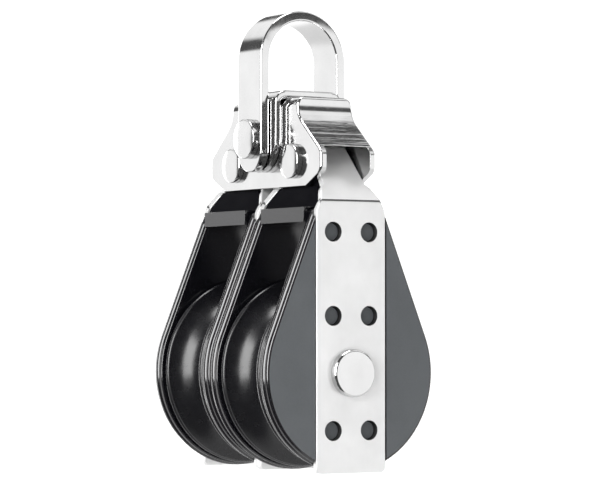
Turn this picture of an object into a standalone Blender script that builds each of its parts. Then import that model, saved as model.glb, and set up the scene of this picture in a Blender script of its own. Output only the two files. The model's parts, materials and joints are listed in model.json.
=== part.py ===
"""Double sheave block with a shackle head, for small boats, modelled in metres with +Z up.

The origin is the inside crown of the shackle bow, where the block hangs. X runs along the axle,
and Y runs along the shackle pin. Heights given as ..._UP are measured up from the axle. The two
sheave units are alike: each has two moulded cheeks, a hairpin strap, a sheave on a ball bearing
and a spacer, and a rivet joins its strap to the head bracket. The left unit mirrors the right.
"""

from math import asin, atan2, cos, degrees, hypot, pi, radians, sin, tan

import bmesh
import bpy
from mathutils import Matrix, Vector

MM = 0.001
GAP = 0.05 * MM  # between pieces that rest on each other
SIDES = {"left": -1, "right": 1}

# Shackle: a flat strip bent into a bow, and the pin through its legs.
BOW_WIDTH = 6.9 * MM
BOW_THICKNESS = 1.5 * MM
BOW_OUTER_RADIUS = 7.65 * MM
BOW_ARCH_ABOVE_PIN = 12.25 * MM
LUG_RADIUS = 5.1 * MM  # how far the bow and the yoke reach past the pin's axis
PIN_RADIUS = 2.4 * MM
PIN_HEAD_RADIUS = 3.05 * MM
PIN_HEAD_HEIGHT = 1.15 * MM
HEAD_CHAMFER = 0.3 * MM  # on the pin and the rivets
BUSH_WALL = 0.8 * MM

# Heights above the axle.
PIN_UP = 35.8 * MM
RIVET_UP = 32.1 * MM
BRACKET_TOP_UP = 42.0 * MM
BRACKET_BOTTOM_UP = 28.2 * MM
CHEEK_TOP_UP = 24.8 * MM
STRAP_BEND_UP = 25.8 * MM
STUD_ROWS_UP = (21.2 * MM, 8.6 * MM, -8.6 * MM)

# Head bracket: a pressed cap with flared ears, and a yoke over it.
BRACKET_HALF_TOP = 9.7 * MM
BRACKET_HALF_EARS = 16.3 * MM
BRACKET_HALF_FOOT = 12.0 * MM
FLARE_TOP_UP = 39.4 * MM
FLARE_FOOT_UP = 33.4 * MM
EAR_BOTTOM_UP = 30.4 * MM
BRACKET_OUTER_Y = 4.95 * MM
PLATE_THICKNESS = 1.05 * MM
WEB_THICKNESS = 1.0 * MM
WEB_BOTTOM_UP = 34.2 * MM
YOKE_THICKNESS = 1.0 * MM
YOKE_BEND = 1.4 * MM
FOLD_RADIUS = 1.2 * MM
EAR_RADIUS = 1.4 * MM
FLARE_RADIUS = 4.0 * MM
RIVET_RADIUS = 1.9 * MM
RIVET_HEAD_RADIUS = 2.65 * MM
RIVET_HEAD_HEIGHT = 1.05 * MM

# Sheave units. Offsets along X are from the unit's own middle.
UNIT_X = 8.55 * MM
CHEEK_RADIUS = 15.0 * MM
CHEEK_SLOPE = radians(22)  # of the straight sides, from vertical
CHEEK_INNER = 6.2 * MM
CHEEK_OUTER = 8.45 * MM
STRAP_THICKNESS = 1.0 * MM
STRAP_HALF_WIDTH = 6.15 * MM
STRAP_HALF_SHOULDER = 4.4 * MM
STRAP_HALF_NECK = 3.8 * MM
STRAP_HALF_TOP = 2.2 * MM
STRAP_CORNER = 0.8 * MM
STRAP_TAPER_BELOW_BEND = 1.5 * MM
STRAP_SHOULDER_BELOW_BRACKET = 0.5 * MM
STRAP_OFFSET = 8.0 * MM  # middle of a strap leg's thickness
STRAP_BOTTOM_UP = -14.7 * MM
STUD_Y = 3.2 * MM
STUD_RADIUS = 1.35 * MM
STUD_HOLE_RADIUS = 1.5 * MM
STUD_BELOW_STRAP = 0.85 * MM

# Spacer between the cheeks, above the sheave.
SPACER_BOTTOM_UP = 22.7 * MM
SPACER_HALF_Y = 7.0 * MM
SPACER_TOP_UP = 29.6 * MM
WEDGE_HALF_FOOT = 5.6 * MM
WEDGE_HALF_TOP = 4.7 * MM
WEDGE_RIDGE_X = 4.2 * MM

# Axle, sheave and bearing.
AXLE_RADIUS = 3.0 * MM
AXLE_HEAD_RADIUS = 3.6 * MM
AXLE_HEAD_HEIGHT = 1.15 * MM
AXLE_HEAD_CHAMFER = 0.35 * MM
DISH_DEPTH = 0.25 * MM
DISH_SHARE = 0.72  # of the axle head's radius
SHEAVE_RADIUS = 14.5 * MM
SHEAVE_HALF_WIDTH = 5.6 * MM
GROOVE_BOTTOM_RADIUS = 10.5 * MM
RIM_FLAT = 1.0 * MM
BALL_RADIUS = 1.4 * MM
BALL_CLEARANCE = 0.1 * MM
BALL_PITCH_RADIUS = 5.8 * MM
BALL_COUNT = 12
RACE_SHOULDER = 0.6 * MM  # how far a race closes in on each side of the balls
RACE_HALF_WIDTH = 1.6 * MM
WASHER_RADIUS = 9.0 * MM
WASHER_THICKNESS = 0.4 * MM

BOW_INNER_RADIUS = BOW_OUTER_RADIUS - BOW_THICKNESS
YOKE_INNER_Y = BRACKET_OUTER_Y + GAP
STRAP_FACE = STRAP_OFFSET + STRAP_THICKNESS / 2
AXLE_Z = -(PIN_UP + BOW_ARCH_ABOVE_PIN + BOW_INNER_RADIUS)
PIN_Z = AXLE_Z + PIN_UP


def material(name, colour, roughness, metallic):
    made = bpy.data.materials.new(name)
    made.use_nodes = True
    shader = made.node_tree.nodes["Principled BSDF"]
    shader.inputs["Base Color"].default_value = (*colour, 1)
    shader.inputs["Roughness"].default_value = roughness
    shader.inputs["Metallic"].default_value = metallic
    return made


def frame_at(name, location, parent=None):
    """An empty that pieces are placed by."""
    made = bpy.data.objects.new(name, None)
    bpy.context.collection.objects.link(made)
    made.parent = parent
    made.location = location
    return made


def solid(name, shape, parent, finish, location=(0, 0, 0)):
    """An object from a bmesh, with its faces turned outwards."""
    bmesh.ops.recalc_face_normals(shape, faces=shape.faces)
    mesh = bpy.data.meshes.new(name)
    shape.to_mesh(mesh)
    shape.free()
    mesh.shade_smooth()
    mesh.set_sharp_from_angle(angle=radians(30))
    made = bpy.data.objects.new(name, mesh)
    bpy.context.collection.objects.link(made)
    made.parent = parent
    made.location = location
    if finish:
        mesh.materials.append(finish)
    return made


def guide(name, shape, parent, location=(0, 0, 0)):
    """A cutter, or a shape that is added to a piece or trims it."""
    made = solid(name, shape, parent, None, location)
    made.hide_render = True
    made.display_type = "WIRE"
    return made


def combine(piece, operation, other):
    modifier = piece.modifiers.new(other.name, "BOOLEAN")
    modifier.operation = operation
    modifier.object = other


def arc(centre, radius, start, end, steps):
    """Points from one angle to another, both in degrees."""
    angles = [radians(start + (end - start) * i / steps) for i in range(steps + 1)]
    return [(centre[0] + radius * cos(a), centre[1] + radius * sin(a)) for a in angles]


def rounded(corners, steps=4):
    """An outline from (u, v, radius) corners, each rounded by its radius."""
    outline = []
    for i, (u, v, radius) in enumerate(corners):
        corner = Vector((u, v))
        back = (Vector(corners[i - 1][:2]) - corner).normalized()
        ahead = (Vector(corners[(i + 1) % len(corners)][:2]) - corner).normalized()
        if radius == 0:
            outline.append((u, v))
            continue
        half = back.angle(ahead) / 2
        centre = corner + (back + ahead).normalized() * radius / sin(half)
        first = corner + back * radius / tan(half) - centre
        last = corner + ahead * radius / tan(half) - centre
        turn = first.angle_signed(last)
        for step in range(steps + 1):
            spoke = first.copy()
            spoke.rotate(Matrix.Rotation(-turn * step / steps, 2))
            outline.append(tuple(centre + spoke))
    return outline


def mirrored(half):
    """A whole outline from its half on the positive side, listed from one end to the other."""
    return half + [(-u, v) for u, v in reversed(half)]


def band(path, thickness):
    """The outline of a strip whose middle runs along the path."""
    points = [Vector(point) for point in path]
    sides = ([], [])
    for i, point in enumerate(points):
        before = (point - points[i - 1]).normalized() if i else None
        after = (points[i + 1] - point).normalized() if i + 1 < len(points) else before
        before = before or after
        normal = (before + after).normalized().orthogonal()
        reach = thickness / 2 / normal.dot(before.orthogonal())
        sides[0].append(tuple(point + normal * reach))
        sides[1].append(tuple(point - normal * reach))
    return sides[0] + sides[1][::-1]


AXES = {
    "X": lambda u, v, along: (along, u, v),
    "Y": lambda u, v, along: (u, along, v),
}


def add_prism(shape, axis, outline, low, high):
    """Adds an outline drawn across an axis and extruded along it."""
    face = shape.faces.new([shape.verts.new(AXES[axis](u, v, low)) for u, v in outline])
    grown = bmesh.ops.extrude_face_region(shape, geom=[face])
    moved = [item for item in grown["geom"] if isinstance(item, bmesh.types.BMVert)]
    bmesh.ops.translate(shape, verts=moved, vec=AXES[axis](0, 0, high - low))


def prism(axis, outline, low, high):
    shape = bmesh.new()
    add_prism(shape, axis, outline, low, high)
    return shape


def rods(axis, centres, radius, low, high, steps=20):
    """Round bars along an axis, one at each centre."""
    shape = bmesh.new()
    for centre in centres:
        add_prism(shape, axis, arc(centre, radius, 0, 360, steps)[:-1], low, high)
    return shape


def turned(axis, profile, steps=20):
    """A closed profile of (radius, along) points turned about an axis."""
    shape = bmesh.new()
    verts = [shape.verts.new(AXES[axis](radius, 0, along)) for radius, along in profile]
    edges = [shape.edges.new((a, b)) for a, b in zip(verts, verts[1:] + verts[:1])]
    bmesh.ops.spin(
        shape,
        geom=verts + edges,
        cent=(0, 0, 0),
        axis=AXES[axis](0, 0, 1),
        angle=2 * pi,
        steps=steps,
        use_merge=True,
    )
    bmesh.ops.remove_doubles(shape, verts=shape.verts, dist=1e-7)
    flat = [edge for edge in shape.edges if not edge.link_faces]
    bmesh.ops.delete(shape, geom=flat, context="EDGES")
    return shape


def cheek_outline():
    """Half a circle below, and straight sides that touch it and lean in to the top, about the axle."""
    touch_up = CHEEK_RADIUS * sin(CHEEK_SLOPE)
    half_top = CHEEK_RADIUS * cos(CHEEK_SLOPE) - (CHEEK_TOP_UP - touch_up) * tan(CHEEK_SLOPE)
    lower = arc((0, 0), CHEEK_RADIUS, -90, degrees(CHEEK_SLOPE), 16)
    return mirrored(lower[1:] + [(half_top, CHEEK_TOP_UP)])[:-1] + [lower[0]]


def stud_centres():
    return [(side * STUD_Y, up) for up in STUD_ROWS_UP for side in (-1, 1)]


def make_cheek(name, unit, outward, finish):
    """A moulded side plate. outward is the way along X that its strap side faces."""
    floor = STRAP_OFFSET - STRAP_THICKNESS / 2 - GAP
    cheek = solid(
        name,
        prism("X", cheek_outline(), outward * CHEEK_INNER, outward * CHEEK_OUTER),
        unit,
        finish,
    )
    edge = STRAP_HALF_WIDTH + GAP
    top = CHEEK_TOP_UP + MM
    bottom = -CHEEK_RADIUS - MM
    channel = [(-edge, bottom), (edge, bottom), (edge, top), (-edge, top)]
    cuts = prism("X", channel, outward * floor, outward * (CHEEK_OUTER + MM))
    combine(cheek, "DIFFERENCE", guide(f"{name}_channel", cuts, unit))
    studs = rods(
        "X",
        stud_centres(),
        STUD_RADIUS,
        outward * (floor - MM),
        outward * (STRAP_FACE - STUD_BELOW_STRAP),
        steps=12,
    )
    combine(cheek, "UNION", guide(f"{name}_studs", studs, unit))
    bore = rods("X", [(0, 0)], AXLE_RADIUS + 2 * GAP, -2 * CHEEK_OUTER, 2 * CHEEK_OUTER)
    combine(cheek, "DIFFERENCE", guide(f"{name}_bore", bore, unit))


def strap_path():
    """The middle of the hairpin's thickness: up one leg, over the rivet and down the other."""
    wrap = RIVET_RADIUS + GAP + STRAP_THICKNESS / 2
    rise = RIVET_UP - STRAP_BEND_UP
    reach = hypot(STRAP_OFFSET, rise)
    lean = atan2(STRAP_OFFSET, rise) - asin(wrap / reach)
    half = [(STRAP_OFFSET, STRAP_BOTTOM_UP), (STRAP_OFFSET, STRAP_BEND_UP)]
    half += arc((0, RIVET_UP), wrap, degrees(lean), 90, 6)
    return half[:-1] + [(-u, v) for u, v in reversed(half)]


def make_strap(name, unit, finish):
    strap = solid(
        name,
        prism("Y", band(strap_path(), STRAP_THICKNESS), -STRAP_HALF_WIDTH, STRAP_HALF_WIDTH),
        unit,
        finish,
    )
    taper = [
        (STRAP_HALF_WIDTH - STRAP_CORNER, STRAP_BOTTOM_UP - 2 * GAP),
        (STRAP_HALF_WIDTH + GAP, STRAP_BOTTOM_UP + STRAP_CORNER),
        (STRAP_HALF_WIDTH + GAP, STRAP_BEND_UP - STRAP_TAPER_BELOW_BEND),
        (STRAP_HALF_SHOULDER, BRACKET_BOTTOM_UP - STRAP_SHOULDER_BELOW_BRACKET),
        (STRAP_HALF_NECK, BRACKET_BOTTOM_UP - GAP),
        (STRAP_HALF_TOP, BRACKET_TOP_UP),
    ]
    outline = prism("X", mirrored(taper), -2 * STRAP_OFFSET, 2 * STRAP_OFFSET)
    combine(strap, "INTERSECT", guide(f"{name}_outline", outline, unit))
    holes = rods(
        "X", stud_centres(), STUD_HOLE_RADIUS, -2 * STRAP_OFFSET, 2 * STRAP_OFFSET, steps=12
    )
    add_prism(
        holes,
        "X",
        arc((0, 0), AXLE_RADIUS + 2 * GAP, 0, 360, 20)[:-1],
        -2 * STRAP_OFFSET,
        2 * STRAP_OFFSET,
    )
    combine(strap, "DIFFERENCE", guide(f"{name}_holes", holes, unit))


def make_spacer(name, unit, finish):
    """A bar between the cheeks, and a wedge above it that fills the hairpin's shoulders."""
    half_bar = CHEEK_INNER - GAP
    bar = [(half_bar, SPACER_BOTTOM_UP), (half_bar, CHEEK_TOP_UP + 3 * GAP)]
    spacer = solid(
        name, prism("Y", mirrored(bar), -SPACER_HALF_Y, SPACER_HALF_Y), unit, finish
    )
    shoulder = STRAP_OFFSET - STRAP_THICKNESS / 2 - 2 * GAP
    wedge = [
        (shoulder, CHEEK_TOP_UP + GAP),
        (shoulder - 4 * GAP, STRAP_BEND_UP),
        (WEDGE_RIDGE_X, SPACER_TOP_UP),
    ]
    neck = STRAP_HALF_NECK - 4 * GAP
    side = [
        (WEDGE_HALF_FOOT, CHEEK_TOP_UP),
        (WEDGE_HALF_TOP, BRACKET_BOTTOM_UP - 2 * GAP),
        (neck, BRACKET_BOTTOM_UP - 2 * GAP),
        (neck, SPACER_TOP_UP + MM),
    ]
    upper = guide(
        f"{name}_wedge", prism("Y", mirrored(wedge), -SPACER_HALF_Y, SPACER_HALF_Y), unit
    )
    trim = guide(f"{name}_sides", prism("X", mirrored(side), -CHEEK_OUTER, CHEEK_OUTER), unit)
    combine(upper, "INTERSECT", trim)
    combine(spacer, "UNION", upper)


def sheave_profile():
    """The sheave's section: a round groove outside, and a raceway in the bore."""
    half = SHEAVE_HALF_WIDTH
    lip = half - RIM_FLAT
    depth = SHEAVE_RADIUS - GROOVE_BOTTOM_RADIUS
    radius = (lip**2 + depth**2) / (2 * depth)
    centre = GROOVE_BOTTOM_RADIUS + radius
    spread = degrees(asin(lip / radius))
    groove = [(centre - r, along) for along, r in arc((0, 0), radius, 90 + spread, 90 - spread, 8)]
    raceway = BALL_PITCH_RADIUS + BALL_RADIUS + BALL_CLEARANCE
    bore = raceway - RACE_SHOULDER
    return (
        [(bore, -half), (SHEAVE_RADIUS, -half)]
        + groove
        + [(SHEAVE_RADIUS, half), (bore, half)]
        + [(bore, RACE_HALF_WIDTH), (raceway, RACE_HALF_WIDTH)]
        + [(raceway, -RACE_HALF_WIDTH), (bore, -RACE_HALF_WIDTH)]
    )


def race_profile():
    """The inner race, which reaches from cheek to cheek, with a raceway round its middle."""
    half = CHEEK_INNER - GAP
    bore = AXLE_RADIUS + 2 * GAP
    raceway = BALL_PITCH_RADIUS - BALL_RADIUS - BALL_CLEARANCE
    shoulder = raceway + RACE_SHOULDER
    return [
        (bore, -half),
        (shoulder, -half),
        (shoulder, -RACE_HALF_WIDTH),
        (raceway, -RACE_HALF_WIDTH),
        (raceway, RACE_HALF_WIDTH),
        (shoulder, RACE_HALF_WIDTH),
        (shoulder, half),
        (bore, half),
    ]


def washer_profile():
    bore = BALL_PITCH_RADIUS - BALL_RADIUS + RACE_SHOULDER
    low = SHEAVE_HALF_WIDTH + 2 * GAP
    high = low + WASHER_THICKNESS
    return [(bore, low), (bore, high), (WASHER_RADIUS, high), (WASHER_RADIUS, low)]


def make_bearing(side, unit, spinning, finishes):
    """The race on the axle, the balls round it, and a side washer in each gap."""
    solid(f"inner_race_{side}", turned("X", race_profile()), unit, finishes["race"])
    for place, outward in (("inner", -1), ("outer", 1)):
        profile = [(r, outward * SIDES[side] * x) for r, x in washer_profile()]
        solid(f"race_washer_{place}_{side}", turned("X", profile), unit, finishes["washer"])
    for i in range(BALL_COUNT):
        angle = 2 * pi * i / BALL_COUNT
        ball = bmesh.new()
        bmesh.ops.create_icosphere(ball, subdivisions=2, radius=BALL_RADIUS)
        centre = (0, BALL_PITCH_RADIUS * cos(angle), BALL_PITCH_RADIUS * sin(angle))
        solid(f"ball_{side}_{i + 1:02d}", ball, spinning, finishes["ball"], centre)


def make_axle(axle_line, finish):
    """One bar through both units, headed at each end over the outer straps."""
    face = UNIT_X + STRAP_FACE + GAP
    end = face + AXLE_HEAD_HEIGHT
    dish_radius = DISH_SHARE * AXLE_HEAD_RADIUS
    half = [
        (AXLE_RADIUS, face),
        (AXLE_HEAD_RADIUS, face),
        (AXLE_HEAD_RADIUS, end - AXLE_HEAD_CHAMFER),
        (AXLE_HEAD_RADIUS - AXLE_HEAD_CHAMFER, end),
        (dish_radius, end),
        (dish_radius - DISH_DEPTH, end - DISH_DEPTH),
        (0, end - DISH_DEPTH),
    ]
    profile = half + [(r, -x) for r, x in reversed(half)]
    solid("axle", turned("X", profile, 24), axle_line, finish)


def bracket_outline():
    """The bracket's front: upright sides above, flared ears, and a flat lower edge, about the pin."""
    top = BRACKET_TOP_UP - PIN_UP
    bottom = BRACKET_BOTTOM_UP - PIN_UP
    half = [
        (BRACKET_HALF_TOP, top, FOLD_RADIUS),
        (BRACKET_HALF_TOP, FLARE_TOP_UP - PIN_UP, FLARE_RADIUS),
        (BRACKET_HALF_EARS, FLARE_FOOT_UP - PIN_UP, EAR_RADIUS),
        (BRACKET_HALF_EARS, EAR_BOTTOM_UP - PIN_UP, EAR_RADIUS),
        (BRACKET_HALF_FOOT, bottom, FOLD_RADIUS),
    ]
    whole = half[::-1] + [(-u, v, r) for u, v, r in half]
    return rounded(whole)


def bracket_fold():
    """The bracket's end view, about the pin, with its folds rounded under the yoke."""
    top = BRACKET_TOP_UP - PIN_UP
    below = BRACKET_BOTTOM_UP - PIN_UP - MM
    half = [(BRACKET_OUTER_Y, below, 0), (BRACKET_OUTER_Y, top, FOLD_RADIUS)]
    return rounded(half + [(-y, up, r) for y, up, r in reversed(half)])


def bracket_cavity():
    """The space inside the cap, about the pin: under the roof and webs, and open below them."""
    roof = BRACKET_TOP_UP - PIN_UP - WEB_THICKNESS
    web_end = WEB_BOTTOM_UP - PIN_UP
    below = BRACKET_BOTTOM_UP - PIN_UP - MM
    side = BRACKET_HALF_TOP - WEB_THICKNESS
    slope = (BRACKET_HALF_EARS - BRACKET_HALF_TOP) / (FLARE_TOP_UP - FLARE_FOOT_UP)
    flare_start = FLARE_TOP_UP - PIN_UP - WEB_THICKNESS / 2
    half = [
        (side, roof),
        (side, flare_start),
        (side + (flare_start - web_end) * slope, web_end),
        (BRACKET_HALF_EARS + MM, web_end),
        (BRACKET_HALF_EARS + MM, below),
    ]
    return mirrored(half)


def make_head(pin_line, finishes):
    """The bracket, the yoke over it, the bush round the pin, and a rivet through each strap."""
    outer = BRACKET_OUTER_Y
    inner = outer - PLATE_THICKNESS
    bracket = solid(
        "head_bracket", prism("Y", bracket_outline(), -outer, outer), pin_line, finishes["steel"]
    )
    fold = prism("X", bracket_fold(), -2 * BRACKET_HALF_EARS, 2 * BRACKET_HALF_EARS)
    combine(bracket, "INTERSECT", guide("bracket_fold", fold, pin_line))
    cavity = guide("bracket_cavity", prism("Y", bracket_cavity(), -inner, inner), pin_line)
    combine(bracket, "DIFFERENCE", cavity)
    rivets = [(x * UNIT_X, RIVET_UP - PIN_UP) for x in SIDES.values()]
    holes = rods("Y", rivets, RIVET_RADIUS + GAP, -2 * outer, 2 * outer)
    pin_hole = arc((0, 0), PIN_RADIUS + 2 * GAP, 0, 360, 24)[:-1]
    add_prism(holes, "Y", pin_hole, -2 * outer, 2 * outer)
    combine(bracket, "DIFFERENCE", guide("bracket_holes", holes, pin_line))

    bush_bore = PIN_RADIUS + 2 * GAP
    bush_end = inner - GAP
    bush = [(bush_bore, -bush_end), (bush_bore, bush_end)]
    bush += [(bush_bore + BUSH_WALL, bush_end), (bush_bore + BUSH_WALL, -bush_end)]
    solid("pin_bush", turned("Y", bush), pin_line, finishes["steel"])
    make_yoke(pin_line, finishes["steel"])

    rivet = headed_profile(RIVET_RADIUS, RIVET_HEAD_RADIUS, outer + GAP, RIVET_HEAD_HEIGHT)
    for side, x in SIDES.items():
        place = (x * UNIT_X, 0, RIVET_UP - PIN_UP)
        solid(f"rivet_{side}", turned("Y", rivet, 24), pin_line, finishes["steel"], place)


def headed_profile(shank, head, face, height):
    """Half the section of a rivet with the same rounded head at each end."""
    half = [
        (shank, face),
        (head, face),
        (head, face + height - HEAD_CHAMFER),
        (head - HEAD_CHAMFER, face + height),
        (0, face + height),
    ]
    return half + [(r, -y) for r, y in reversed(half)]


def lug_outline(half_width, top):
    """A strip's front, about the pin: upright sides that end in a rounded lug below."""
    centre = -(LUG_RADIUS - half_width)
    lug = arc((0, centre), half_width, -90, 0, 8)
    return mirrored(lug[1:] + [(half_width, top)])[:-1] + [lug[0]]


def make_yoke(pin_line, finish):
    """An inverted U over the bracket, whose round lugs lie between the bracket and the bow."""
    middle = YOKE_INNER_Y + YOKE_THICKNESS / 2
    top = BRACKET_TOP_UP - PIN_UP + 4 * GAP + YOKE_THICKNESS / 2
    centre = (middle - YOKE_BEND, top - YOKE_BEND)
    half = [(middle, -LUG_RADIUS - MM)] + arc(centre, YOKE_BEND, 0, 90, 5)
    path = half + [(-u, v) for u, v in reversed(half)]
    yoke = solid(
        "head_yoke",
        prism("X", band(path, YOKE_THICKNESS), -LUG_RADIUS, LUG_RADIUS),
        pin_line,
        finish,
    )
    front = prism("Y", lug_outline(LUG_RADIUS, top + MM), -2 * middle, 2 * middle)
    combine(yoke, "INTERSECT", guide("yoke_front", front, pin_line))
    hole = rods("Y", [(0, 0)], PIN_RADIUS + 2 * GAP, -2 * middle, 2 * middle, 24)
    combine(yoke, "DIFFERENCE", guide("yoke_hole", hole, pin_line))


def make_shackle(pin_line, finish):
    middle = BOW_OUTER_RADIUS - BOW_THICKNESS / 2
    half = [(middle, -LUG_RADIUS - MM)] + arc((0, BOW_ARCH_ABOVE_PIN), middle, 0, 90, 10)
    path = half[:-1] + [(-u, v) for u, v in reversed(half)]
    side = BOW_WIDTH / 2
    bow = solid(
        "shackle_bow", prism("X", band(path, BOW_THICKNESS), -side, side), pin_line, finish
    )
    top = BOW_ARCH_ABOVE_PIN + BOW_OUTER_RADIUS + MM
    front = prism("Y", lug_outline(side, top), -2 * middle, 2 * middle)
    combine(bow, "INTERSECT", guide("bow_front", front, pin_line))
    hole = rods("Y", [(0, 0)], PIN_RADIUS + GAP, -2 * middle, 2 * middle, 24)
    combine(bow, "DIFFERENCE", guide("bow_hole", hole, pin_line))

    face = BOW_OUTER_RADIUS + GAP
    head = face + PIN_HEAD_HEIGHT
    pin = [
        (0, -head),
        (PIN_HEAD_RADIUS - HEAD_CHAMFER, -head),
        (PIN_HEAD_RADIUS, HEAD_CHAMFER - head),
        (PIN_HEAD_RADIUS, -face),
        (PIN_RADIUS, -face),
        (PIN_RADIUS, face - HEAD_CHAMFER),
        (PIN_RADIUS - HEAD_CHAMFER, face),
        (0, face),
    ]
    solid("shackle_pin", turned("Y", pin), pin_line, finish)


def main():
    for item in list(bpy.data.objects):
        bpy.data.objects.remove(item)
    steel = material("stainless_steel", (0.78, 0.78, 0.79), 0.16, 1)
    plastic = material("black_moulding", (0.012, 0.012, 0.014), 0.32, 0)
    cheek_plastic = material("grey_black_moulding", (0.05, 0.053, 0.058), 0.5, 0)
    finishes = {
        "steel": steel,
        "race": material("race_steel", (0.6, 0.6, 0.62), 0.25, 1),
        "washer": material("washer_plastic", (0.75, 0.74, 0.7), 0.5, 0),
        "ball": material("ball_plastic", (0.82, 0.8, 0.74), 0.3, 0),
    }

    shackle = frame_at("shackle_pin_line", (0, 0, PIN_Z))
    make_shackle(shackle, steel)

    block = frame_at("block_hinge", (0, 0, PIN_Z))
    make_head(block, finishes)
    axle_line = frame_at("axle_line", (0, 0, -PIN_UP), block)
    make_axle(axle_line, steel)
    for side, sign in SIDES.items():
        unit = frame_at(f"unit_{side}", (sign * UNIT_X, 0, 0), axle_line)
        spinning = frame_at(f"sheave_centre_{side}", (0, 0, 0), unit)
        make_cheek(f"cheek_outer_{side}", unit, sign, cheek_plastic)
        make_cheek(f"cheek_inner_{side}", unit, -sign, cheek_plastic)
        make_strap(f"strap_{side}", unit, steel)
        make_spacer(f"top_spacer_{side}", unit, plastic)
        solid(f"sheave_{side}", turned("X", sheave_profile(), 36), spinning, plastic)
        make_bearing(side, unit, spinning, finishes)


main()
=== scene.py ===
"""Looks of the double sheave block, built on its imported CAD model.

Metres and +Z up. The origin is the bow's inner crown, X is along the axle, and Y along the pin.
"""

import json
from math import asin, atan2, cos, degrees, hypot, pi, radians, sin, sqrt, tan

import bmesh
import bpy
from mathutils import Matrix, Vector


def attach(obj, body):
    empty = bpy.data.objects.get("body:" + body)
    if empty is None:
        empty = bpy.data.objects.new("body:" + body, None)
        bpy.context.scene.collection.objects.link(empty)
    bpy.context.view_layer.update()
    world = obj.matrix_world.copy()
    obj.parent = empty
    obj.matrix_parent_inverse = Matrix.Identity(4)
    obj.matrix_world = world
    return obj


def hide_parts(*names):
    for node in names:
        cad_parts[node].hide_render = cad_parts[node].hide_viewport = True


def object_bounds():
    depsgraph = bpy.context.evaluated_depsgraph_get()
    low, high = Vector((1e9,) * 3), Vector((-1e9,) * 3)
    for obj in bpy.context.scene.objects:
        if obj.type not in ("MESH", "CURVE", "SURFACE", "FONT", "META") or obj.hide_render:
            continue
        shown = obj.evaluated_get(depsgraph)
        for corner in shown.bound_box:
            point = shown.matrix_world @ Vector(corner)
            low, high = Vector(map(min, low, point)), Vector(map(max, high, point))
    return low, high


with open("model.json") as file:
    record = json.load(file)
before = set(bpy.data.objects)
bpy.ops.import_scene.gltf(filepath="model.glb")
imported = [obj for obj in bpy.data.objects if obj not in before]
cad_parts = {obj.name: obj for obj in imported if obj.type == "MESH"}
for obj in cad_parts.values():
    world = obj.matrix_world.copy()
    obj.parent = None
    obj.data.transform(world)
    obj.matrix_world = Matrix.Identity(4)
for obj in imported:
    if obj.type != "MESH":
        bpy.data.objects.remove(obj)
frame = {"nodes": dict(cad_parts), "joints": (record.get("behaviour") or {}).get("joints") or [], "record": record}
cad_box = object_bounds()

MM = 0.001
GAP = 0.05 * MM  # between pieces that rest on each other
SIDES = {"left": -1, "right": 1}
JOINTS = {joint["name"]: joint for joint in frame["joints"]}
PIN_Z = JOINTS["block_swing"]["pos_m"][2]
UNIT_X = JOINTS["sheave_right_spin"]["pos_m"][0]
AXLE_Z = JOINTS["sheave_right_spin"]["pos_m"][2]

# Shackle and yoke: flat strips with round lugs, about the pin.
BOW_WIDTH = 6.9 * MM
BOW_THICKNESS = 1.5 * MM
BOW_OUTER_RADIUS = 7.65 * MM
BOW_ARCH_ABOVE_PIN = 12.25 * MM
BOW_ROUND = 0.24 * MM  # of the strip's edges
BOW_PINCH = 0.22 * MM  # the bend narrows the outside of the strip this much on each side
BOW_BEVEL = 0.12 * MM
LUG_RADIUS = 5.1 * MM
LUG_STEPS = 12
PIN_RADIUS = 2.4 * MM
PIN_HEAD_RADIUS = 3.05 * MM
PIN_HEAD_HEIGHT = 1.15 * MM
HEAD_CROWN = 0.12 * MM  # of the heads of the pin and the rivets
HEAD_EDGE = 0.2 * MM
YOKE_THICKNESS = 1.0 * MM
YOKE_BEND = 1.4 * MM
YOKE_ROUND = 0.22 * MM
YOKE_ABOVE_ROOF = 0.2 * MM
YOKE_BEVEL = 0.1 * MM

# Heights above the axle.
PIN_UP = 35.8 * MM
RIVET_UP = 32.1 * MM
BRACKET_TOP_UP = 42.0 * MM
BRACKET_BOTTOM_UP = 28.2 * MM
CHEEK_TOP_UP = 24.8 * MM
STRAP_BEND_UP = 25.8 * MM
STRAP_BOTTOM_UP = -14.95 * MM
STUD_ROWS_UP = (21.2 * MM, 8.6 * MM, -8.6 * MM)

# Head bracket: a pressed cap whose webs join its two plates with round folds.
BRACKET_HALF_TOP = 9.7 * MM
BRACKET_HALF_EARS = 16.3 * MM
BRACKET_HALF_FOOT = 12.0 * MM
BRACKET_OUTER_Y = 4.95 * MM
BRACKET_STEP = 0.5 * MM  # between level sections
BRACKET_BEVEL = 0.14 * MM
FLARE_TOP_UP = 39.0 * MM
FLARE_FOOT_UP = 33.4 * MM
FLARE_ROUND = 4.0 * MM
EAR_BOTTOM_UP = 30.4 * MM
EAR_ROUND = 1.4 * MM
FOOT_ROUND = 1.2 * MM
WEB_BOTTOM_UP = 34.2 * MM
PLATE_THICKNESS = 1.05 * MM
PLATE_ROUND = 0.3 * MM
WEB_THICKNESS = 1.0 * MM
WEB_FOLD = 0.4 * MM
ROOF_FOLD = 0.5 * MM
INNER_FOLD = 0.6 * MM
RIVET_RADIUS = 1.9 * MM
RIVET_HEAD_RADIUS = 2.65 * MM
RIVET_HEAD_HEIGHT = 1.05 * MM

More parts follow.
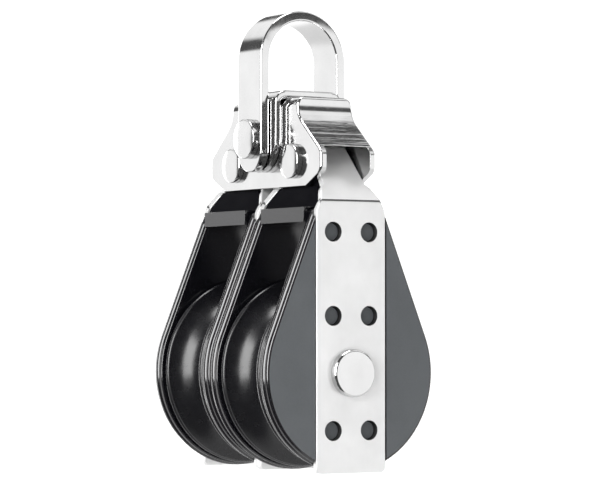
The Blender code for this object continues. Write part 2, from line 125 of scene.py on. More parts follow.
# Sheave units. Offsets along X are from the unit's own middle.
CHEEK_RADIUS = 14.99 * MM
CHEEK_SLOPE = radians(22)
CHEEK_CORNER = 0.5 * MM
CHEEK_INNER = 6.2 * MM
CHEEK_OUTER = 8.45 * MM
CHEEK_BEVEL = 0.09 * MM
CHANNEL_GAP = 0.22 * MM  # shadow line on each side of the strap
RIM_DEPTH = 0.24 * MM  # of the rim beside its bead
RIM_EDGE = 0.22 * MM  # rounding of the rim's edge beside the sheave
FACE_EDGE = 0.42 * MM  # rounding between the rim and the outer face
BEAD_START = 0.75 * MM  # from the sheave side of the cheek
BEAD_WIDTH = 0.8 * MM
BEAD_STEPS = 8
BEAD_FULLNESS = 0.8  # below 1, the bead is fuller than a sine
STUD_Y = 3.2 * MM
STUD_RADIUS = 1.35 * MM
STUD_HOLE_RADIUS = 1.5 * MM
STUD_BELOW_STRAP = 0.85 * MM
SPACER_BOTTOM_UP = 22.7 * MM
SPACER_HALF_Y = 7.0 * MM
SPACER_TOP_UP = 29.6 * MM
SPACER_BEVEL = 0.22 * MM
BAR_ABOVE_CHEEK = 0.15 * MM
WEDGE_HALF_FOOT = 5.6 * MM
WEDGE_HALF_TOP = 4.1 * MM
WEDGE_RIDGE_X = 4.2 * MM
WEDGE_CLEARANCE = 0.2 * MM

# Hairpin straps.
STRAP_THICKNESS = 1.0 * MM
STRAP_HALF_WIDTH = 6.15 * MM
STRAP_HALF_SHOULDER = 4.4 * MM
STRAP_HALF_NECK = 3.8 * MM
STRAP_HALF_TOP = 2.2 * MM
STRAP_TAPER_BELOW_BEND = 1.5 * MM
STRAP_SHOULDER_BELOW_BRACKET = 0.5 * MM
STRAP_OFFSET = 8.0 * MM
STRAP_BEND = 0.9 * MM
STRAP_CORNER = 0.8 * MM
STRAP_ROUND = 0.16 * MM
STRAP_BEVEL = 0.1 * MM
CREASE_TILT = (0.2, 0.42)  # Z of the normals in the crease of the bend, where painted shade darkens the strap
CREASE_REACH = 0.5 * MM  # above and below the bend

# Axle and sheaves.
AXLE_RADIUS = 3.0 * MM
AXLE_HEAD_RADIUS = 3.6 * MM
AXLE_HEAD_HEIGHT = 1.15 * MM
AXLE_HEAD_EDGE = 0.4 * MM
SHEAVE_RADIUS = 14.5 * MM
SHEAVE_HALF_WIDTH = 5.6 * MM
GROOVE_BOTTOM_RADIUS = 10.5 * MM
GROOVE_TRIM = 3  # degrees of the groove's arc that the rim's rounding takes
SHEAVE_RIM_FLAT = 1.0 * MM
SHEAVE_RIM_ROUND = 0.46 * MM
SHEAVE_RIM_TURN = 55  # degrees that the rounding goes on past the crest
SHEAVE_BORE = 6.7 * MM
BORE_HALF_WIDTH = 1.6 * MM
RACEWAY_RADIUS = 7.3 * MM

YOKE_INNER_Y = BRACKET_OUTER_Y + GAP
STRAP_FACE = STRAP_OFFSET + STRAP_THICKNESS / 2
FINE = 48  # sides of a whole circle
SHARP_ANGLE = radians(35)
BEVEL_ANGLE = radians(45)


# Shapes -----------------------------------------------------------------------------------------


def arc(centre, radius, start, end, steps):
    """Points from one angle to another, both in degrees."""
    angles = [radians(start + (end - start) * i / steps) for i in range(steps + 1)]
    return [(centre[0] + radius * cos(a), centre[1] + radius * sin(a)) for a in angles]


def circle(centre, radius):
    return arc(centre, radius, 0, 360, FINE)[:-1]


def rounded(corners, steps):
    """An outline from (u, v, radius) corners, each rounded by its radius."""
    outline = []
    for i, (u, v, radius) in enumerate(corners):
        if radius == 0:
            outline.append((u, v))
            continue
        corner = Vector((u, v))
        back = (Vector(corners[i - 1][:2]) - corner).normalized()
        ahead = (Vector(corners[(i + 1) % len(corners)][:2]) - corner).normalized()
        half = back.angle(ahead) / 2
        centre = corner + (back + ahead).normalized() * radius / sin(half)
        first = corner + back * radius / tan(half) - centre
        last = corner + ahead * radius / tan(half) - centre
        turn = first.angle_signed(last)
        for step in range(steps + 1):
            spoke = first.copy()
            spoke.rotate(Matrix.Rotation(-turn * step / steps, 2))
            outline.append(tuple(centre + spoke))
    return outline


def rounding(distance, radius):
    """How far a rounded edge falls back at a distance from its end."""
    left = min(max(radius - distance, 0), radius)
    return radius - sqrt(radius**2 - left**2)


def mirrored(half):
    """A whole outline from its half on the positive side, listed from one end to the other."""
    return half + [(-u, v) for u, v in reversed(half)]


AXES = {
    "X": lambda u, v, along: (along, u, v),
    "Y": lambda u, v, along: (u, along, v),
}


def loft_into(shape, rings):
    """Skins rings that have the same number of points, and caps both ends."""
    rows = [[shape.verts.new(point) for point in ring] for ring in rings]
    for lower, upper in zip(rows, rows[1:]):
        for i in range(len(lower)):
            j = (i + 1) % len(lower)
            shape.faces.new((lower[i], lower[j], upper[j], upper[i]))
    shape.faces.new(rows[0][::-1])
    shape.faces.new(rows[-1])


def loft(rings):
    shape = bmesh.new()
    loft_into(shape, rings)
    return shape


def prism(axis, outlines, low, high):
    """Outlines drawn across an axis and extruded along it."""
    shape = bmesh.new()
    for outline in outlines:
        loft_into(shape, [[AXES[axis](u, v, at) for u, v in outline] for at in (low, high)])
    return shape


def turned(axis, profile):
    """A closed profile of (radius, along) points turned about an axis."""
    shape = bmesh.new()
    verts = [shape.verts.new(AXES[axis](radius, 0, along)) for radius, along in profile]
    edges = [shape.edges.new((a, b)) for a, b in zip(verts, verts[1:] + verts[:1])]
    bmesh.ops.spin(
        shape,
        geom=verts + edges,
        cent=(0, 0, 0),
        axis=AXES[axis](0, 0, 1),
        angle=2 * pi,
        steps=2 * FINE,
        use_merge=True,
    )
    bmesh.ops.remove_doubles(shape, verts=shape.verts, dist=1e-7)
    flat = [edge for edge in shape.edges if not edge.link_faces]
    bmesh.ops.delete(shape, geom=flat, context="EDGES")
    return shape


def strip_section(half_width, thickness, radius, pinch=0.0):
    """A strip's (across, out) section: a rounded rectangle, narrowed on the outside by pinch."""
    half = thickness / 2
    radius = min(radius, 0.9 * half, 0.9 * (half_width - pinch))  # so that some of each side is flat
    corners = [
        (half_width - pinch, half, radius),
        (half_width, -half, radius),
        (-half_width, -half, radius),
        (pinch - half_width, half, radius),
    ]
    return rounded(corners, steps=3)


def bend_path(centre, radius, start, end, steps):
    """(point, outward) pairs round a bend, from one angle to another in radians."""
    path = []
    for i in range(steps + 1):
        angle = start + (end - start) * i / steps
        outward = (cos(angle), sin(angle))
        path.append(((centre[0] + radius * outward[0], centre[1] + radius * outward[1]), outward))
    return path


def both_sides(half):
    """All of a symmetric strip's stations, from those on the positive side and on the middle."""
    far = [((-x, z), (-out_x, out_z), section) for (x, z), (out_x, out_z), section in reversed(half)]
    ends_on_middle = half[-1][0][0] < GAP
    return half + (far[1:] if ends_on_middle else far)


def strip(axis, stations):
    """A bent strip whose width lies along an axis. Each station is (point, outward, section)."""
    rings = []
    for point, outward, section in stations:
        ring = []
        for across, out in section:
            at = Vector(point) + Vector(outward) * out
            ring.append(AXES[axis](at.x, at.y, across))
        rings.append(ring)
    return loft(rings)


def object_from(name, shape, location=(0, 0, 0)):
    bmesh.ops.recalc_face_normals(shape, faces=shape.faces)
    mesh = bpy.data.meshes.new(name)
    shape.to_mesh(mesh)
    shape.free()
    made = bpy.data.objects.new(name, mesh)
    bpy.context.scene.collection.objects.link(made)
    made.location = location
    return made


def piece(name, shape, location, finish, changes=(), bevel=0.0, second=None):
    """A shown piece.

    changes are (Boolean operation, shape) pairs, and bevel softens the edges that they leave.
    second is another finish, and the test that a face passes to have it.
    """
    made = object_from(name, shape, location)
    others = []
    for operation, other in changes:
        others.append(object_from(f"{name}_tool", other, location))
        modifier = made.modifiers.new("carve", "BOOLEAN")
        modifier.operation = operation
        modifier.object = others[-1]
    if changes:
        bpy.context.view_layer.update()
        graph = bpy.context.evaluated_depsgraph_get()
        made.data = bpy.data.meshes.new_from_object(made.evaluated_get(graph))
        made.modifiers.clear()
    for other in others:
        bpy.data.objects.remove(other)
    made.data.materials.clear()
    made.data.materials.append(finish)
    if second:
        second_finish, has_it = second
        made.data.materials.append(second_finish)
        for face in made.data.polygons:
            face.material_index = int(has_it(face))
    made.data.shade_smooth()
    made.data.set_sharp_from_angle(angle=SHARP_ANGLE)
    if bevel:
        modifier = made.modifiers.new("soften", "BEVEL")
        modifier.width = bevel
        modifier.segments = 2
        modifier.limit_method = "ANGLE"
        modifier.angle_limit = BEVEL_ANGLE
    made.modifiers.new("normals", "WEIGHTED_NORMAL").keep_sharp = True
    return made


# Materials --------------------------------------------------------------------------------------


BROAD_SCALE = 180  # of the slow change in a material's colour, in noise cells per metre
RAMP_SPAN = (0.3, 0.7)  # the values that noise mostly keeps between


def noise(tree, scale, detail, stretch=(1, 1, 1)):
    """Noise in the object's own coordinates."""
    place = tree.nodes.new("ShaderNodeTexCoord")
    mapping = tree.nodes.new("ShaderNodeMapping")
    mapping.inputs["Scale"].default_value = stretch
    tree.links.new(place.outputs["Object"], mapping.inputs["Vector"])
    made = tree.nodes.new("ShaderNodeTexNoise")
    made.inputs["Scale"].default_value = scale
    made.inputs["Detail"].default_value = detail
    tree.links.new(mapping.outputs["Vector"], made.inputs["Vector"])
    return made.outputs["Fac"]


def ramp(tree, source, low, high):
    """A colour or a value that goes from low to high as noise does."""
    made = tree.nodes.new("ShaderNodeValToRGB")
    for stop, position, colour in zip(made.color_ramp.elements, RAMP_SPAN, (low, high)):
        stop.position = position
        stop.color = (*colour, 1)
    tree.links.new(source, made.inputs["Fac"])
    return made.outputs["Color"]


def grey(value):
    return (value, value, value)


def surface(
    name,
    colours,
    roughness,
    grain,
    grain_scale,
    metallic=0,
    stretch=(1, 1, 1),
    specular=0.5,
    relief=0.02 * MM,
):
    """A Principled material whose colour, roughness and surface all vary a little."""
    made = bpy.data.materials.new(name)
    made.use_nodes = True
    tree = made.node_tree
    shader = tree.nodes["Principled BSDF"]
    shader.inputs["Metallic"].default_value = metallic
    shader.inputs["Specular IOR Level"].default_value = specular
    broad = noise(tree, BROAD_SCALE, detail=4)
    fine = noise(tree, grain_scale, detail=5, stretch=stretch)
    tree.links.new(ramp(tree, broad, *colours), shader.inputs["Base Color"])
    rough_low, rough_high = (grey(value) for value in roughness)
    tree.links.new(ramp(tree, fine, rough_low, rough_high), shader.inputs["Roughness"])
    bump = tree.nodes.new("ShaderNodeBump")
    bump.inputs["Strength"].default_value = grain
    bump.inputs["Distance"].default_value = relief
    tree.links.new(fine, bump.inputs["Height"])
    tree.links.new(bump.outputs["Normal"], shader.inputs["Normal"])
    return made


def steel(name, greys, roughness, grain, grain_scale, metallic=1, **more):
    colours = [grey(value) for value in greys]
    return surface(name, colours, roughness, grain, grain_scale, metallic, **more)


POLISHED = steel("polished_steel", (0.62, 0.68), roughness=(0.08, 0.15), grain=0.1, grain_scale=900)
RACE = steel("race_steel", (0.6, 0.7), roughness=(0.15, 0.25), grain=0.1, grain_scale=900)
# A dark, rough steel: painted shade on the strap's stud-hole walls and in the crease of its bend.
PAINTED_SHADE_STEEL = steel("painted_shade_steel", (0.1, 0.16), roughness=(0.45, 0.6), grain=0.3, grain_scale=1800)
PRESSED = steel(
    "pressed_steel",
    (0.54, 0.66),
    roughness=(0.1, 0.2),
    grain=1,
    grain_scale=560,
    stretch=(1, 0.04, 1),
    relief=0.4 * MM,
)
BRUSHED = steel(
    "brushed_steel",
    (0.54, 0.6),
    roughness=(0.28, 0.38),
    grain=0.6,
    grain_scale=1500,
    metallic=0.45,
    stretch=(1, 1, 0.05),
)
CHEEK_FACE = surface(
    "cheek_moulding",
    ((0.05, 0.0545, 0.059), (0.06, 0.065, 0.07)),
    roughness=(0.5, 0.62),
    grain=0.35,
    grain_scale=2600,
)
BLACKS = ((0.002, 0.002, 0.003), (0.004, 0.004, 0.005))
BLACK = surface(
    "black_moulding", BLACKS, roughness=(0.1, 0.16), grain=0.02, grain_scale=700, specular=0.8
)
WEDGE_BLACK = surface(
    "wedge_moulding", BLACKS, roughness=(0.3, 0.4), grain=0.1, grain_scale=900, specular=0.01
)
SHEAVE_BLACK = surface(
    "sheave_moulding",
    ((0.003, 0.003, 0.004), (0.005, 0.005, 0.006)),
    roughness=(0.22, 0.3),
    grain=0.03,
    grain_scale=500,
)
WASHER = surface(
    "washer_plastic",
    ((0.68, 0.66, 0.6), (0.76, 0.74, 0.68)),
    roughness=(0.4, 0.5),
    grain=0.2,
    grain_scale=1400,
)
BALL = surface(
    "ball_plastic",
    ((0.78, 0.76, 0.7), (0.85, 0.83, 0.78)),
    roughness=(0.2, 0.3),
    grain=0.05,
    grain_scale=700,
)


# Head -------------------------------------------------------------------------------------------


def lug_stations(leg_out, half_width, thickness, radius):
    """Stations of a strip's round end, from its tip to its full width, about the pin."""
    stations = []
    for i in range(1, LUG_STEPS + 1):
        angle = pi / 2 * i / LUG_STEPS
        from_tip = half_width * (1 - cos(angle))
        thinned = thickness - 2 * rounding(from_tip, radius)
        section = strip_section(half_width * sin(angle), thinned, radius)
        stations.append(((leg_out, from_tip - LUG_RADIUS), (1, 0), section))
    return stations


def bent_strip(leg_out, half_width, thickness, radius, bend, top, bend_steps, pinch=0.0):
    """Stations of an inverted U, about the pin: a lug, a leg and a bend on each side."""
    half = lug_stations(leg_out, half_width, thickness, radius)
    for point, outward in bend_path((leg_out - bend, top - bend), bend, 0, pi / 2, bend_steps):
        narrowed = pinch * min(1, 2 * outward[1])
        section = strip_section(half_width, thickness, radius, narrowed)
        half.append((point, outward, section))
    return both_sides(half)


def pin_profile():
    """Half the section of the pin: its crowned head at -Y, and a rounded far end."""
    face = BOW_OUTER_RADIUS + GAP
    head = face + PIN_HEAD_HEIGHT
    head_edge = (PIN_HEAD_RADIUS - HEAD_EDGE, HEAD_CROWN + HEAD_EDGE - head)
    far_edge = (PIN_RADIUS - HEAD_EDGE, face - HEAD_EDGE)
    return (
        [(0, -head)]
        + arc(head_edge, HEAD_EDGE, -80, 0, steps=5)
        + [(PIN_HEAD_RADIUS, -face), (PIN_RADIUS, -face)]
        + arc(far_edge, HEAD_EDGE, 0, 90, steps=4)
        + [(0, face)]
    )


def make_shackle():
    middle = BOW_OUTER_RADIUS - BOW_THICKNESS / 2
    stations = bent_strip(
        leg_out=middle,
        half_width=BOW_WIDTH / 2,
        thickness=BOW_THICKNESS,
        radius=BOW_ROUND,
        bend=middle,
        top=BOW_ARCH_ABOVE_PIN + middle,
        bend_steps=24,
        pinch=BOW_PINCH,
    )
    hole = prism("Y", [circle((0, 0), PIN_RADIUS + GAP)], -2 * middle, 2 * middle)
    at_pin = (0, 0, PIN_Z)
    changes = [("DIFFERENCE", hole)]
    bow = piece("bow", strip("X", stations), at_pin, POLISHED, changes, BOW_BEVEL)
    pin = piece("pin", turned("Y", pin_profile()), at_pin, POLISHED)
    return {"shackle_bow": bow, "shackle_pin": pin}


def bracket_side():
    """(half width, height) points up the cap's side, from its bottom edge to its roof."""
    corners = [
        (0, BRACKET_BOTTOM_UP, 0),
        (BRACKET_HALF_FOOT, BRACKET_BOTTOM_UP, FOOT_ROUND),
        (BRACKET_HALF_EARS, EAR_BOTTOM_UP, EAR_ROUND),
        (BRACKET_HALF_EARS, FLARE_FOOT_UP, EAR_ROUND),
        (BRACKET_HALF_TOP, FLARE_TOP_UP, FLARE_ROUND),
        (BRACKET_HALF_TOP, BRACKET_TOP_UP, ROOF_FOLD),
        (0, BRACKET_TOP_UP, 0),
    ]
    side = rounded(corners, steps=8)[1:-1]
    dense = [side[0]]
    for (u0, v0), (u1, v1) in zip(side, side[1:]):
        cuts = max(1, round((v1 - v0) / BRACKET_STEP))
        dense += [(u0 + (u1 - u0) * i / cuts, v0 + (v1 - v0) * i / cuts) for i in range(1, cuts + 1)]
    return dense


def bracket_rings():
    """Level sections of the cap and its ears, from the bottom edge to the roof, about the pin."""
    rings = []
    for half_x, up in bracket_side():
        roof_fold = rounding(BRACKET_TOP_UP - up, YOKE_BEND)
        bottom_edge = rounding(up - BRACKET_BOTTOM_UP, PLATE_ROUND)
        half_y = BRACKET_OUTER_Y - roof_fold - bottom_edge
        corners = [(half_x, half_y), (half_x, -half_y), (-half_x, -half_y), (-half_x, half_y)]
        outline = rounded([(x, y, WEB_FOLD) for x, y in corners], steps=6)
        rings.append([(x, y, up - PIN_UP) for x, y in outline])
    return rings


def bracket_cavity():
    """The space inside the cap, about the pin: under the roof and webs, and open below them."""
    slope = (BRACKET_HALF_EARS - BRACKET_HALF_TOP) / (FLARE_TOP_UP - FLARE_FOOT_UP)
    side = BRACKET_HALF_TOP - WEB_THICKNESS
    flare_start = FLARE_TOP_UP - PIN_UP - WEB_THICKNESS / 2
    web_end = WEB_BOTTOM_UP - PIN_UP
    half = [
        (side, BRACKET_TOP_UP - PIN_UP - WEB_THICKNESS, INNER_FOLD),
        (side, flare_start, FLARE_ROUND - WEB_THICKNESS),
        (side + (flare_start - web_end) * slope, web_end, 0),
        (2 * BRACKET_HALF_EARS, web_end, 0),
        (2 * BRACKET_HALF_EARS, -PIN_UP, 0),
    ]
    return rounded(half + [(-u, v, radius) for u, v, radius in reversed(half)], steps=6)


def make_bracket():
    inner = BRACKET_OUTER_Y - PLATE_THICKNESS
    outer = 2 * BRACKET_OUTER_Y
    holes = [circle((x * UNIT_X, RIVET_UP - PIN_UP), RIVET_RADIUS + GAP) for x in SIDES.values()]
    holes.append(circle((0, 0), PIN_RADIUS + 2 * GAP))
    changes = [
        ("DIFFERENCE", prism("Y", [bracket_cavity()], -inner, inner)),
        ("DIFFERENCE", prism("Y", holes, -outer, outer)),
    ]

    def on_flare(face):
        """The flares show faint press marks across them."""
        leans = abs(face.normal.x) > 0.3 and face.normal.z > 0.2
        return leans and face.center.z < FLARE_TOP_UP - PIN_UP

    shape = loft(bracket_rings())
    second = (PRESSED, on_flare)
    return piece("bracket", shape, (0, 0, PIN_Z), POLISHED, changes, BRACKET_BEVEL, second)


def make_yoke():
    stations = bent_strip(
        leg_out=YOKE_INNER_Y + YOKE_THICKNESS / 2,
        half_width=LUG_RADIUS,
        thickness=YOKE_THICKNESS,
        radius=YOKE_ROUND,
        bend=YOKE_BEND,
        top=BRACKET_TOP_UP - PIN_UP + YOKE_ABOVE_ROOF + YOKE_THICKNESS / 2,
        bend_steps=8,
    )
    hole = prism("Y", [circle((0, 0), PIN_RADIUS + 2 * GAP)], -2 * LUG_RADIUS, 2 * LUG_RADIUS)
    changes = [("DIFFERENCE", hole)]
    return piece("yoke", strip("X", stations), (0, 0, PIN_Z), POLISHED, changes, YOKE_BEVEL)


def rivet_profile():
    """Half the section of a rivet, with the same crowned head at each end."""
    face = BRACKET_OUTER_Y + GAP
    end = face + RIVET_HEAD_HEIGHT
    half = [(RIVET_RADIUS, face), (RIVET_HEAD_RADIUS, face)]
    edge_centre = (RIVET_HEAD_RADIUS - HEAD_EDGE, end - HEAD_CROWN - HEAD_EDGE)
    half += arc(edge_centre, HEAD_EDGE, 0, 80, steps=5)
    half += [(0.45 * RIVET_HEAD_RADIUS, end - HEAD_CROWN / 4), (0, end)]  # the low crown
    return half + [(r, -y) for r, y in reversed(half)]


def make_head():
    made = {"head_bracket": make_bracket(), "head_yoke": make_yoke()}
    for side, x in SIDES.items():
        location = (x * UNIT_X, 0, AXLE_Z + RIVET_UP)
        shape = turned("Y", rivet_profile())
        made[f"rivet_{side}"] = piece(f"head_rivet_{side}", shape, location, POLISHED)
    return made


# Sheave units -----------------------------------------------------------------------------------


def cheek_outline(inset):
    """Half a circle below, and straight sides that lean in from it to the top, about the axle."""
    radius = CHEEK_RADIUS - inset
    top = CHEEK_TOP_UP - inset
    lower = arc((0, 0), radius, -90, degrees(CHEEK_SLOPE), steps=40)
    touch = Vector(lower[-1])
    corner = Vector(((radius - top * sin(CHEEK_SLOPE)) / cos(CHEEK_SLOPE), top))
    straight = [tuple(touch.lerp(corner, i / 12)) for i in range(1, 12)]
    down = (touch - corner).normalized()
    end = [tuple(corner + down * CHEEK_CORNER), (corner.x - CHEEK_CORNER, top)]
    return [lower[0]] + mirrored(lower[1:] + straight + end)


def rim_profile():
    """The rim's (inset, distance from the sheave side) section: two round edges and a bead."""

    def edge(radius):
        quarter = arc((0, 0), radius, 0, 90, steps=4)
        return [(RIM_DEPTH + radius - y, radius - x) for x, y in quarter]

    thickness = CHEEK_OUTER - CHEEK_INNER
    low = edge(RIM_EDGE)
    high = [(inset, thickness - at) for inset, at in reversed(edge(FACE_EDGE))]
    bead = []
    for i in range(BEAD_STEPS + 1):
        share = i / BEAD_STEPS
        rise = RIM_DEPTH * sin(pi * share) ** BEAD_FULLNESS
        bead.append((RIM_DEPTH - rise, BEAD_START + BEAD_WIDTH * share))
    return low + bead + high


def cheek_rings(outward):
    """Sections of the cheek from its sheave side to its strap side."""
    rings = []
    for inset, along in rim_profile():
        at = outward * (CHEEK_INNER + along)
        rings.append([(at, y, z) for y, z in cheek_outline(inset)])
    return rings


def stud_centres():
    return [(side * STUD_Y, up) for up in STUD_ROWS_UP for side in (-1, 1)]


def make_cheek(name, unit_x, outward):
    floor = STRAP_OFFSET - STRAP_THICKNESS / 2 - GAP
    edge = STRAP_HALF_WIDTH + CHANNEL_GAP
    top = CHEEK_TOP_UP + MM
    bottom = -CHEEK_RADIUS - MM
    channel = [(-edge, bottom), (edge, bottom), (edge, top), (-edge, top)]
    cut = prism("X", [channel], outward * floor, outward * (CHEEK_OUTER + MM))
    stud_top = STRAP_FACE - STUD_BELOW_STRAP
    stud_outlines = [circle(at, STUD_RADIUS) for at in stud_centres()]
    studs = prism("X", stud_outlines, outward * (floor - MM), outward * stud_top)
    bore_outline = circle((0, 0), AXLE_RADIUS + 2 * GAP)
    bore = prism("X", [bore_outline], -2 * CHEEK_OUTER, 2 * CHEEK_OUTER)
    changes = [("DIFFERENCE", cut), ("UNION", studs), ("DIFFERENCE", bore)]

    def textured(face):
        """The flat outer face and the stud tops have the matte grain, and the rest is glossy."""
        return face.normal.x * outward > 0.99 and face.center.x * outward > stud_top - GAP

    shape = loft(cheek_rings(outward))
    second = (CHEEK_FACE, textured)
    return piece(name, shape, (unit_x, 0, AXLE_Z), BLACK, changes, CHEEK_BEVEL, second)


def interpolated(levels, at):
    """The value at a height, from (height, value) pairs in order of height."""
    for (low, start), (high, end) in zip(levels, levels[1:]):
        if at <= high:
            return start + (end - start) * (at - low) / (high - low)


def strap_half_width(up):
    """Half the strap's width at a height: full, then in to the shoulders and the neck."""
    levels = [
        (STRAP_BOTTOM_UP, STRAP_HALF_WIDTH),
        (STRAP_BEND_UP - STRAP_TAPER_BELOW_BEND, STRAP_HALF_WIDTH),
        (BRACKET_BOTTOM_UP - STRAP_SHOULDER_BELOW_BRACKET, STRAP_HALF_SHOULDER),
        (BRACKET_BOTTOM_UP - GAP, STRAP_HALF_NECK),
        (BRACKET_TOP_UP, STRAP_HALF_TOP),
    ]
    return interpolated(levels, up) - rounding(up - STRAP_BOTTOM_UP, STRAP_CORNER)


def strap_path():
    """(point, outward) pairs up one leg, round a small bend and over the rivet, about the axle."""
    wrap = RIVET_RADIUS + GAP + STRAP_THICKNESS / 2
    rise = RIVET_UP - STRAP_BEND_UP
    lean = atan2(STRAP_OFFSET, rise) - asin(wrap / hypot(STRAP_OFFSET, rise))
    leg_top = STRAP_BEND_UP - STRAP_BEND * tan(lean / 2)
    levels = [STRAP_CORNER * (1 - cos(pi / 2 * i / 5)) for i in range(6)]
    levels += [(leg_top - STRAP_BOTTOM_UP) * i / 40 for i in range(1, 40)]
    leg = [((STRAP_OFFSET, STRAP_BOTTOM_UP + level), (1, 0)) for level in levels]
    bend = bend_path((STRAP_OFFSET - STRAP_BEND, leg_top), STRAP_BEND, 0, lean, steps=6)
    over_rivet = bend_path((0, RIVET_UP), wrap, lean, pi / 2, steps=10)
    bend_end, outward = bend[-1]
    start = Vector(bend_end)
    end = Vector(over_rivet[0][0])
    slope = [(tuple(start.lerp(end, i / 14)), outward) for i in range(1, 14)]
    return leg + bend + slope + over_rivet


def strap_stations():
    half = []
    for point, outward in strap_path():
        section = strip_section(strap_half_width(point[1]), STRAP_THICKNESS, STRAP_ROUND)
        half.append((point, outward, section))
    return both_sides(half)


def make_strap(name, unit_x):
    holes = [circle(at, STUD_HOLE_RADIUS) for at in stud_centres()]
    holes.append(circle((0, 0), AXLE_RADIUS + 2 * GAP))
    changes = [("DIFFERENCE", prism("X", holes, -2 * STRAP_OFFSET, 2 * STRAP_OFFSET))]

    def painted_shade_faces(face):
        """The walls of the stud holes and the crease of the bend get a dark steel as painted shade."""
        from_stud = min((face.center.yz - Vector(centre)).length for centre in stud_centres())
        in_hole = abs(face.normal.x) < 0.5 and from_stud < STUD_HOLE_RADIUS + GAP
        at_bend = abs(face.center.z - STRAP_BEND_UP) < CREASE_REACH
        in_crease = at_bend and CREASE_TILT[0] < face.normal.z < CREASE_TILT[1]
        return in_hole or in_crease

    shape = strip("Y", strap_stations())
    second = (PAINTED_SHADE_STEEL, painted_shade_faces)
    return piece(name, shape, (unit_x, 0, AXLE_Z), BRUSHED, changes, STRAP_BEVEL, second)


def make_spacer(name, unit_x):
    """A bar between the cheeks, and a wedge above it that fills the hairpin's shoulders."""
    half_bar = CHEEK_INNER - GAP
    bar_top = CHEEK_TOP_UP + BAR_ABOVE_CHEEK
    bar = [(half_bar, SPACER_BOTTOM_UP), (half_bar, bar_top)]
    shoulder = STRAP_OFFSET - STRAP_THICKNESS / 2 - 2 * GAP
    wedge = [
        (shoulder, CHEEK_TOP_UP + GAP),
        (shoulder - WEDGE_CLEARANCE, STRAP_BEND_UP),
        (WEDGE_RIDGE_X, SPACER_TOP_UP),
    ]
    neck = STRAP_HALF_NECK - WEDGE_CLEARANCE
    side = [
        (WEDGE_HALF_FOOT, CHEEK_TOP_UP),
        (WEDGE_HALF_TOP, BRACKET_BOTTOM_UP - 2 * GAP),
        (neck, BRACKET_BOTTOM_UP - 2 * GAP),
        (neck, SPACER_TOP_UP + MM),
    ]
    shape = prism("Y", [mirrored(wedge)], -SPACER_HALF_Y, SPACER_HALF_Y)
    changes = [
        ("INTERSECT", prism("X", [mirrored(side)], -CHEEK_OUTER, CHEEK_OUTER)),
        ("UNION", prism("Y", [mirrored(bar)], -SPACER_HALF_Y, SPACER_HALF_Y)),
    ]

    def on_wedge(face):
        return face.center.z > bar_top + GAP

    second = (WEDGE_BLACK, on_wedge)
    return piece(name, shape, (unit_x, 0, AXLE_Z), BLACK, changes, SPACER_BEVEL, second)


def sheave_profile():
    """The sheave's section: rounded rims, a round groove outside, and a raceway in the bore."""
    half = SHEAVE_HALF_WIDTH
    lip = half - SHEAVE_RIM_FLAT
    depth = SHEAVE_RADIUS - GROOVE_BOTTOM_RADIUS
    radius = (lip**2 + depth**2) / (2 * depth)
    centre = GROOVE_BOTTOM_RADIUS + radius
    spread = degrees(asin(lip / radius)) - GROOVE_TRIM
    groove_arc = arc((0, 0), radius, 90 + spread, 90 - spread, steps=32)
    groove = [(centre - r, along) for along, r in groove_arc]
    rim_centre = (SHEAVE_RADIUS - SHEAVE_RIM_ROUND, half - SHEAVE_RIM_ROUND)
    rim = arc(rim_centre, SHEAVE_RIM_ROUND, 90, -SHEAVE_RIM_TURN, steps=12)
    bore = [
        (SHEAVE_BORE, half),
        (SHEAVE_BORE, BORE_HALF_WIDTH),
        (RACEWAY_RADIUS, BORE_HALF_WIDTH),
        (RACEWAY_RADIUS, -BORE_HALF_WIDTH),
        (SHEAVE_BORE, -BORE_HALF_WIDTH),
        (SHEAVE_BORE, -half),
    ]
    return [(r, -x) for r, x in rim] + groove + rim[::-1] + bore


def make_sheave(name, unit_x):
    return piece(name, turned("X", sheave_profile()), (unit_x, 0, AXLE_Z), SHEAVE_BLACK)


def make_axle():
    face = UNIT_X + STRAP_FACE + GAP
    end = face + AXLE_HEAD_HEIGHT
    edge_centre = (AXLE_HEAD_RADIUS - AXLE_HEAD_EDGE, end - AXLE_HEAD_EDGE)
    half = [(AXLE_RADIUS, face), (AXLE_HEAD_RADIUS, face)]
    half += arc(edge_centre, AXLE_HEAD_EDGE, 0, 90, steps=8)
    half += [(0, end)]
    profile = half + [(r, -x) for r, x in reversed(half)]
    return piece("axle_bar", turned("X", profile), (0, 0, AXLE_Z), POLISHED)


def make_units():
    made = {"axle": make_axle()}
    for side, sign in SIDES.items():
        unit_x = sign * UNIT_X
        made[f"cheek_outer_{side}"] = make_cheek(f"outer_cheek_{side}", unit_x, sign)
        made[f"cheek_inner_{side}"] = make_cheek(f"inner_cheek_{side}", unit_x, -sign)
        made[f"strap_{side}"] = make_strap(f"hairpin_strap_{side}", unit_x)
        made[f"top_spacer_{side}"] = make_spacer(f"spacer_{side}", unit_x)
        made[f"sheave_{side}"] = make_sheave(f"grooved_sheave_{side}", unit_x)
    return made


# Fitting to the frame ---------------------------------------------------------------------------

SLOTS = {  # by the start of a node's name, and stainless_steel for the rest
    "cheek": "cheek_moulding",
    "top_spacer": "black_moulding",
    "sheave": "sheave_moulding",
}
INSIDE = {"inner_race": RACE, "race_washer": WASHER, "ball": BALL, "pin_bush": POLISHED}


def body_holding(node):
    bodies = frame["record"]["behaviour"]["bodies"]
    return next(body for body, members in bodies.items() if node in members)


def fit(made):
    """Hangs each piece on its node's body, in that node's place, and finishes the other nodes."""
    for node, new in made.items():
        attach(new, body_holding(node))
        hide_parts(node)
        kinds = (slot for start, slot in SLOTS.items() if node.startswith(start))
        next(kinds, "stainless_steel")
    for name, node in frame["nodes"].items():
        for start, finish in INSIDE.items():
            if name.startswith(start):
                node.data.materials.clear()
                node.data.materials.append(finish)


# Stage ------------------------------------------------------------------------------------------

